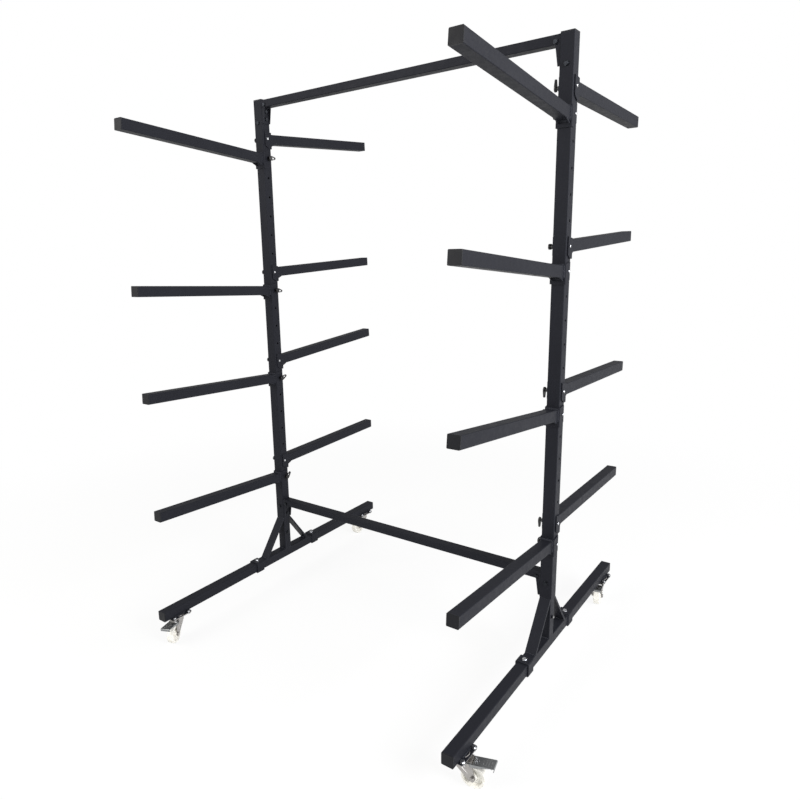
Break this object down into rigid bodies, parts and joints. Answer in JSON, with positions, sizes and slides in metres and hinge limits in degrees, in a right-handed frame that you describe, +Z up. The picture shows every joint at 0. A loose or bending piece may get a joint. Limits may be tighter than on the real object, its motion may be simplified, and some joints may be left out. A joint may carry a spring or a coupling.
{
  "type": "freestanding kayak rack",
  "caption": "Freestanding wheeled storage rack of square steel tube with pinned, height-adjustable arms on both sides for kayaks and boards.",
  "frame": {"origin": "on the floor, midway between the two uprights", "axes": "+X from the left upright to the right one, -Y toward the front arms, +Z up"},
  "size_m": [1.4826, 1.4771, 2.192],
  "materials": {
    "frame_powder": "dark grey powder coat, slightly textured, semi-matte",
    "cap_plastic": "black moulded plastic",
    "bolt_zinc": "bright zinc plate",
    "caster_zinc": "zinc plate, pressed steel",
    "pedal_steel": "grey plated steel",
    "wheel_nylon": "off-white nylon",
    "pin_zinc": "bright zinc pin, its loop black"
  },
  "bodies": {
    "frame": {"base_left": "frame_powder", "base_right": "frame_powder", "upright_left": "frame_powder", "upright_right": "frame_powder", "crossbar_top": "frame_powder", "crossbar_bottom": "frame_powder", "crossbar_brackets": "frame_powder", "leg_front_left": "frame_powder", "leg_front_right": "frame_powder", "leg_rear_left": "frame_powder", "leg_rear_right": "frame_powder", "arm_front_left_1": "frame_powder", "arm_front_left_2": "frame_powder", "arm_front_left_3": "frame_powder", "arm_front_left_4": "frame_powder", "arm_front_right_1": "frame_powder", "arm_front_right_2": "frame_powder", "arm_front_right_3": "frame_powder", "arm_front_right_4": "frame_powder", "arm_rear_left_1": "frame_powder", "arm_rear_left_2": "frame_powder", "arm_rear_left_3": "frame_powder", "arm_rear_left_4": "frame_powder", "arm_rear_right_1": "frame_powder", "arm_rear_right_2": "frame_powder", "arm_rear_right_3": "frame_powder", "arm_rear_right_4": "frame_powder", "tube_end_caps": "cap_plastic", "arm_end_caps": "cap_plastic", "frame_bolts": "bolt_zinc", "caster_plates": "caster_zinc", "caster_bolts": "bolt_zinc"},
    "swivel_front_left": {"fork_front_left": "caster_zinc"},
    "wheel_front_left": {"wheel_front_left": "wheel_nylon"},
    "pedal_front_left": {"pedal_front_left": "pedal_steel"},
    "pin_front_left_1": {"pin_front_left_1": "pin_zinc"},
    "pin_front_left_2": {"pin_front_left_2": "pin_zinc"},
    "pin_front_left_3": {"pin_front_left_3": "pin_zinc"},
    "pin_front_left_4": {"pin_front_left_4": "pin_zinc"},
    "swivel_front_right": {"fork_front_right": "caster_zinc"},
    "wheel_front_right": {"wheel_front_right": "wheel_nylon"},
    "pedal_front_right": {"pedal_front_right": "pedal_steel"},
    "pin_front_right_1": {"pin_front_right_1": "pin_zinc"},
    "pin_front_right_2": {"pin_front_right_2": "pin_zinc"},
    "pin_front_right_3": {"pin_front_right_3": "pin_zinc"},
    "pin_front_right_4": {"pin_front_right_4": "pin_zinc"},
    "swivel_rear_left": {"fork_rear_left": "caster_zinc"},
    "wheel_rear_left": {"wheel_rear_left": "wheel_nylon"},
    "pedal_rear_left": {"pedal_rear_left": "pedal_steel"},
    "pin_rear_left_1": {"pin_rear_left_1": "pin_zinc"},
    "pin_rear_left_2": {"pin_rear_left_2": "pin_zinc"},
    "pin_rear_left_3": {"pin_rear_left_3": "pin_zinc"},
    "pin_rear_left_4": {"pin_rear_left_4": "pin_zinc"},
    "swivel_rear_right": {"fork_rear_right": "caster_zinc"},
    "wheel_rear_right": {"wheel_rear_right": "wheel_nylon"},
    "pedal_rear_right": {"pedal_rear_right": "pedal_steel"},
    "pin_rear_right_1": {"pin_rear_right_1": "pin_zinc"},
    "pin_rear_right_2": {"pin_rear_right_2": "pin_zinc"},
    "pin_rear_right_3": {"pin_rear_right_3": "pin_zinc"},
    "pin_rear_right_4": {"pin_rear_right_4": "pin_zinc"}
  },
  "joints": [
    {"name": "swivel_turn_front_left", "type": "hinge", "parent": "frame", "child": "swivel_front_left", "pos_m": [-0.664, -0.659, 0.09], "axis": [0, 0, 1], "continuous": true},
    {"name": "wheel_spin_front_left", "type": "hinge", "parent": "swivel_front_left", "child": "wheel_front_left", "pos_m": [-0.6454, -0.69888, 0.0375], "axis": [0.9063, 0.4226, 0], "continuous": true},
    {"name": "brake_press_front_left", "type": "hinge", "parent": "swivel_front_left", "child": "pedal_front_left", "pos_m": [-0.65132, -0.68619, 0.082], "axis": [0.9063, 0.4226, 0], "range_deg": [0, 8]},
    {"name": "pull_front_left_1", "type": "slide", "parent": "frame", "child": "pin_front_left_1", "axis": [1, 0, 0], "range_m": [0, 0.055]},
    {"name": "pull_front_left_2", "type": "slide", "parent": "frame", "child": "pin_front_left_2", "axis": [1, 0, 0], "range_m": [0, 0.055]},
    {"name": "pull_front_left_3", "type": "slide", "parent": "frame", "child": "pin_front_left_3", "axis": [1, 0, 0], "range_m": [0, 0.055]},
    {"name": "pull_front_left_4", "type": "slide", "parent": "frame", "child": "pin_front_left_4", "axis": [1, 0, 0], "range_m": [0, 0.055]},
    {"name": "swivel_turn_front_right", "type": "hinge", "parent": "frame", "child": "swivel_front_right", "pos_m": [0.664, -0.659, 0.09], "axis": [0, 0, 1], "continuous": true},
    {"name": "wheel_spin_front_right", "type": "hinge", "parent": "swivel_front_right", "child": "wheel_front_right", "pos_m": [0.70719, -0.6506, 0.0375], "axis": [-0.1908, 0.9816, 0], "continuous": true},
    {"name": "brake_press_front_right", "type": "hinge", "parent": "swivel_front_right", "child": "pedal_front_right", "pos_m": [0.69345, -0.65328, 0.082], "axis": [-0.1908, 0.9816, 0], "range_deg": [0, 8]},
    {"name": "pull_front_right_1", "type": "slide", "parent": "frame", "child": "pin_front_right_1", "axis": [-1, 0, 0], "range_m": [0, 0.055]},
    {"name": "pull_front_right_2", "type": "slide", "parent": "frame", "child": "pin_front_right_2", "axis": [-1, 0, 0], "range_m": [0, 0.055]},
    {"name": "pull_front_right_3", "type": "slide", "parent": "frame", "child": "pin_front_right_3", "axis": [-1, 0, 0], "range_m": [0, 0.055]},
    {"name": "pull_front_right_4", "type": "slide", "parent": "frame", "child": "pin_front_right_4", "axis": [-1, 0, 0], "range_m": [0, 0.055]},
    {"name": "swivel_turn_rear_left", "type": "hinge", "parent": "frame", "child": "swivel_rear_left", "pos_m": [-0.664, 0.632, 0.09], "axis": [0, 0, 1], "continuous": true},
    {"name": "wheel_spin_rear_left", "type": "hinge", "parent": "swivel_rear_left", "child": "wheel_rear_left", "pos_m": [-0.6663, 0.58806, 0.0375], "axis": [0.9986, -0.0523, 0], "continuous": true},
    {"name": "brake_press_rear_left", "type": "hinge", "parent": "swivel_rear_left", "child": "pedal_rear_left", "pos_m": [-0.66557, 0.60204, 0.082], "axis": [0.9986, -0.0523, 0], "range_deg": [0, 8]},
    {"name": "pull_rear_left_1", "type": "slide", "parent": "frame", "child": "pin_rear_left_1", "axis": [-1, 0, 0], "range_m": [0, 0.055]},
    {"name": "pull_rear_left_2", "type": "slide", "parent": "frame", "child": "pin_rear_left_2", "axis": [-1, 0, 0], "range_m": [0, 0.055]},
    {"name": "pull_rear_left_3", "type": "slide", "parent": "frame", "child": "pin_rear_left_3", "axis": [-1, 0, 0], "range_m": [0, 0.055]},
    {"name": "pull_rear_left_4", "type": "slide", "parent": "frame", "child": "pin_rear_left_4", "axis": [-1, 0, 0], "range_m": [0, 0.055]},
    {"name": "swivel_turn_rear_right", "type": "hinge", "parent": "frame", "child": "swivel_rear_right", "pos_m": [0.664, 0.632, 0.09], "axis": [0, 0, 1], "continuous": true},
    {"name": "wheel_spin_rear_right", "type": "hinge", "parent": "swivel_rear_right", "child": "wheel_rear_right", "pos_m": [0.67164, 0.58867, 0.0375], "axis": [0.9848, 0.1736, 0], "continuous": true},
    {"name": "brake_press_rear_right", "type": "hinge", "parent": "swivel_rear_right", "child": "pedal_rear_right", "pos_m": [0.66921, 0.60246, 0.082], "axis": [0.9848, 0.1736, 0], "range_deg": [0, 8]},
    {"name": "pull_rear_right_1", "type": "slide", "parent": "frame", "child": "pin_rear_right_1", "axis": [-1, 0, 0], "range_m": [0, 0.055]},
    {"name": "pull_rear_right_2", "type": "slide", "parent": "frame", "child": "pin_rear_right_2", "axis": [-1, 0, 0], "range_m": [0, 0.055]},
    {"name": "pull_rear_right_3", "type": "slide", "parent": "frame", "child": "pin_rear_right_3", "axis": [-1, 0, 0], "range_m": [0, 0.055]},
    {"name": "pull_rear_right_4", "type": "slide", "parent": "frame", "child": "pin_rear_right_4", "axis": [-1, 0, 0], "range_m": [0, 0.055]}
  ]
}
